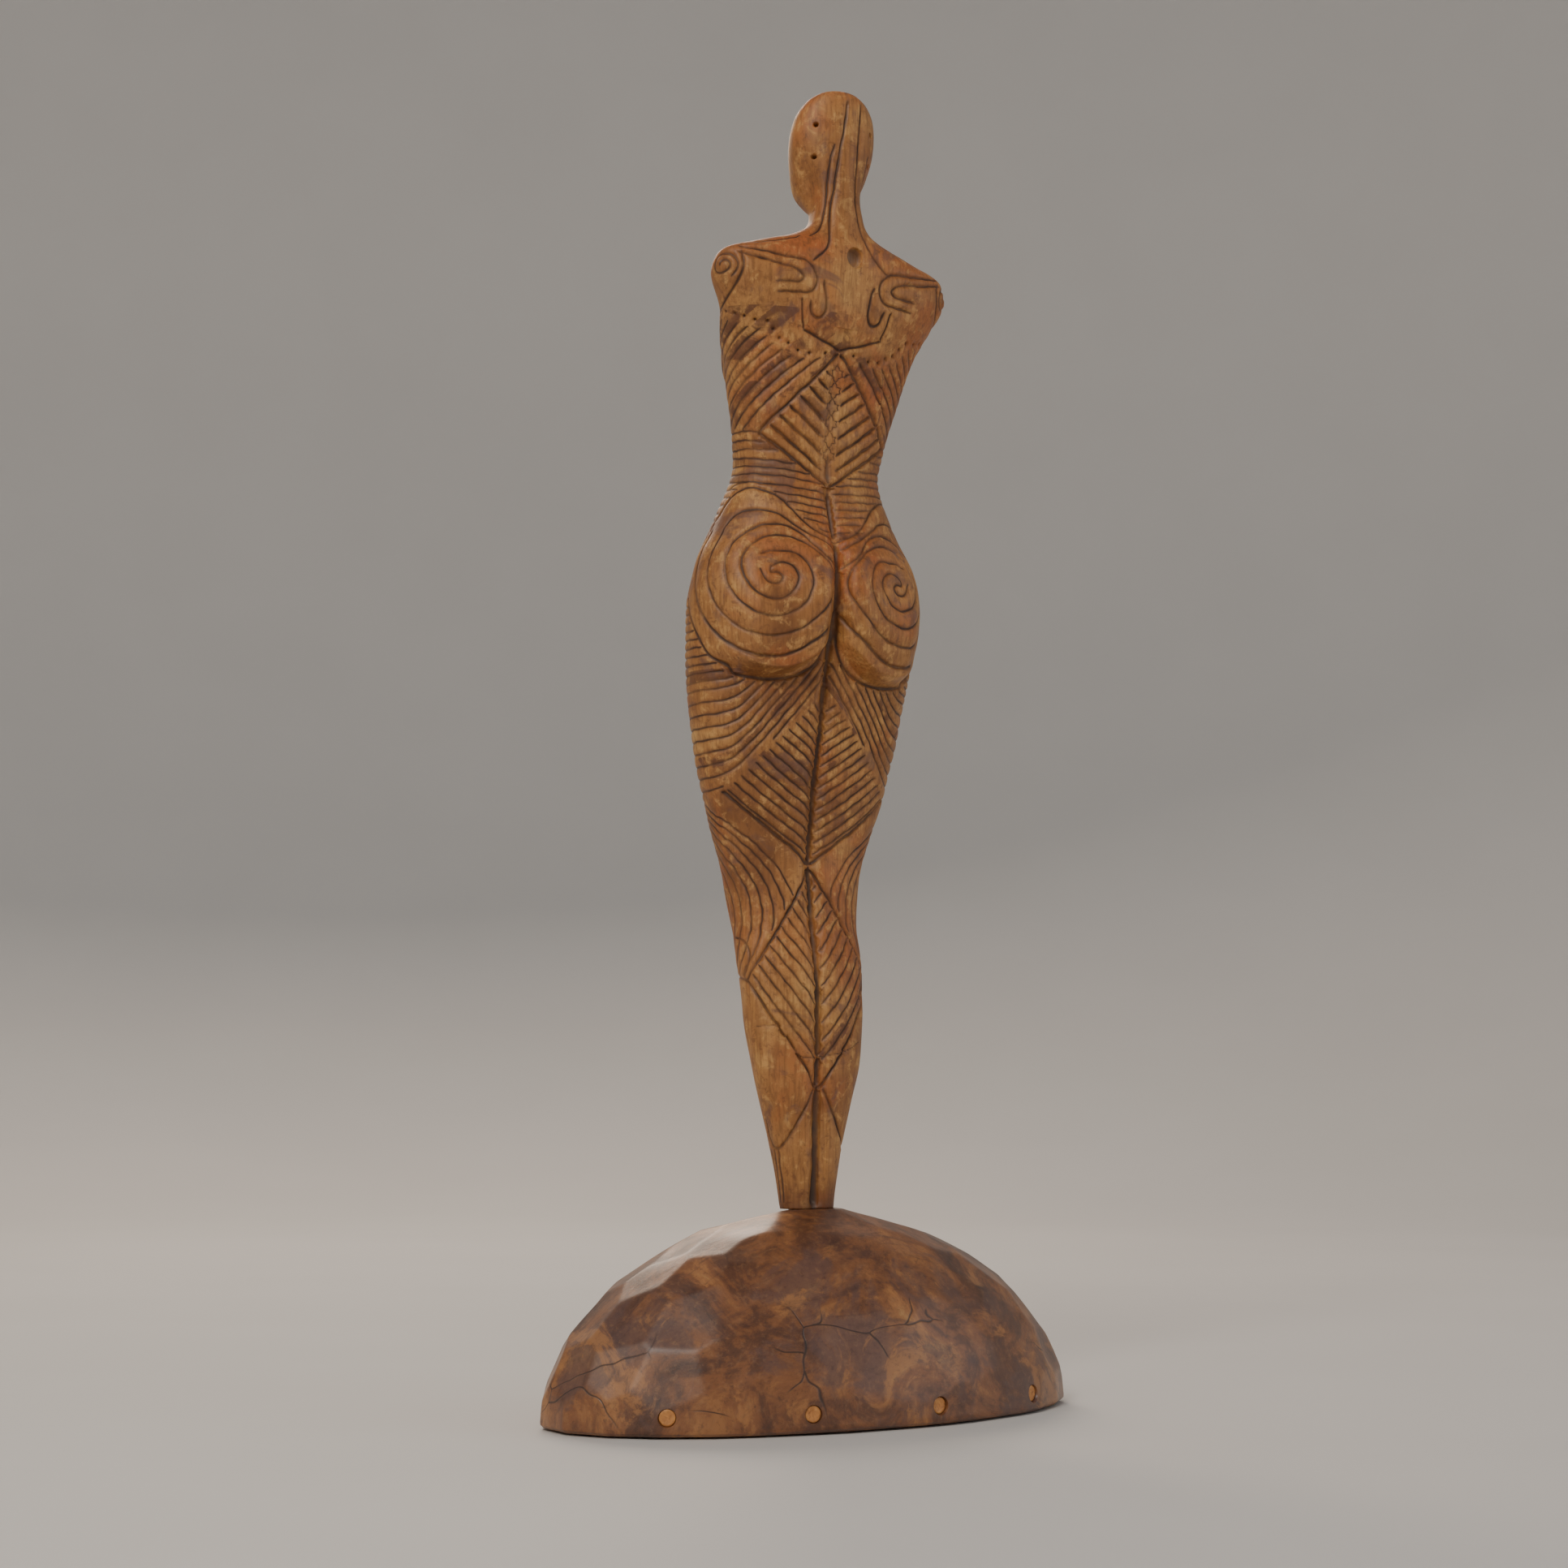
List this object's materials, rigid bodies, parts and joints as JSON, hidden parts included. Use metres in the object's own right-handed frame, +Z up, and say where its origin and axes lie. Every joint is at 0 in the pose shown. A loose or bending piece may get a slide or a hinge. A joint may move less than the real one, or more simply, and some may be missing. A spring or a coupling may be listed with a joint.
{
  "type": "carved figure",
  "caption": "Slender armless standing female figure carved with spirals and herringbone grooves, tenoned into a glossy half-dome burl base with sunken wooden plugs along its rim.",
  "frame": {"origin": "on the floor, under the middle of the oval base", "axes": "+Z up along the figure, the figure faces -Y with its back to +Y, +X is the figure's own left and the long way of the base"},
  "size_m": [0.1258, 0.0664, 0.295],
  "materials": {
    "carved_wood": "oiled, satin",
    "burl_wood": "varnished, gloss",
    "plug_wood": "varnished, satin",
    "screw_steel": "zinc plated",
    "pad_felt": "felt"
  },
  "bodies": {
    "root": {"figure": "carved_wood", "base_dome": "burl_wood", "fixing_screw": "screw_steel", "screw_washer": "screw_steel", "base_pad": "pad_felt", "rim_plug_01": "plug_wood", "rim_plug_02": "plug_wood", "rim_plug_03": "plug_wood", "rim_plug_04": "plug_wood", "rim_plug_05": "plug_wood", "rim_plug_06": "plug_wood", "rim_plug_07": "plug_wood", "rim_plug_08": "plug_wood"}
  },
  "joints": []
}
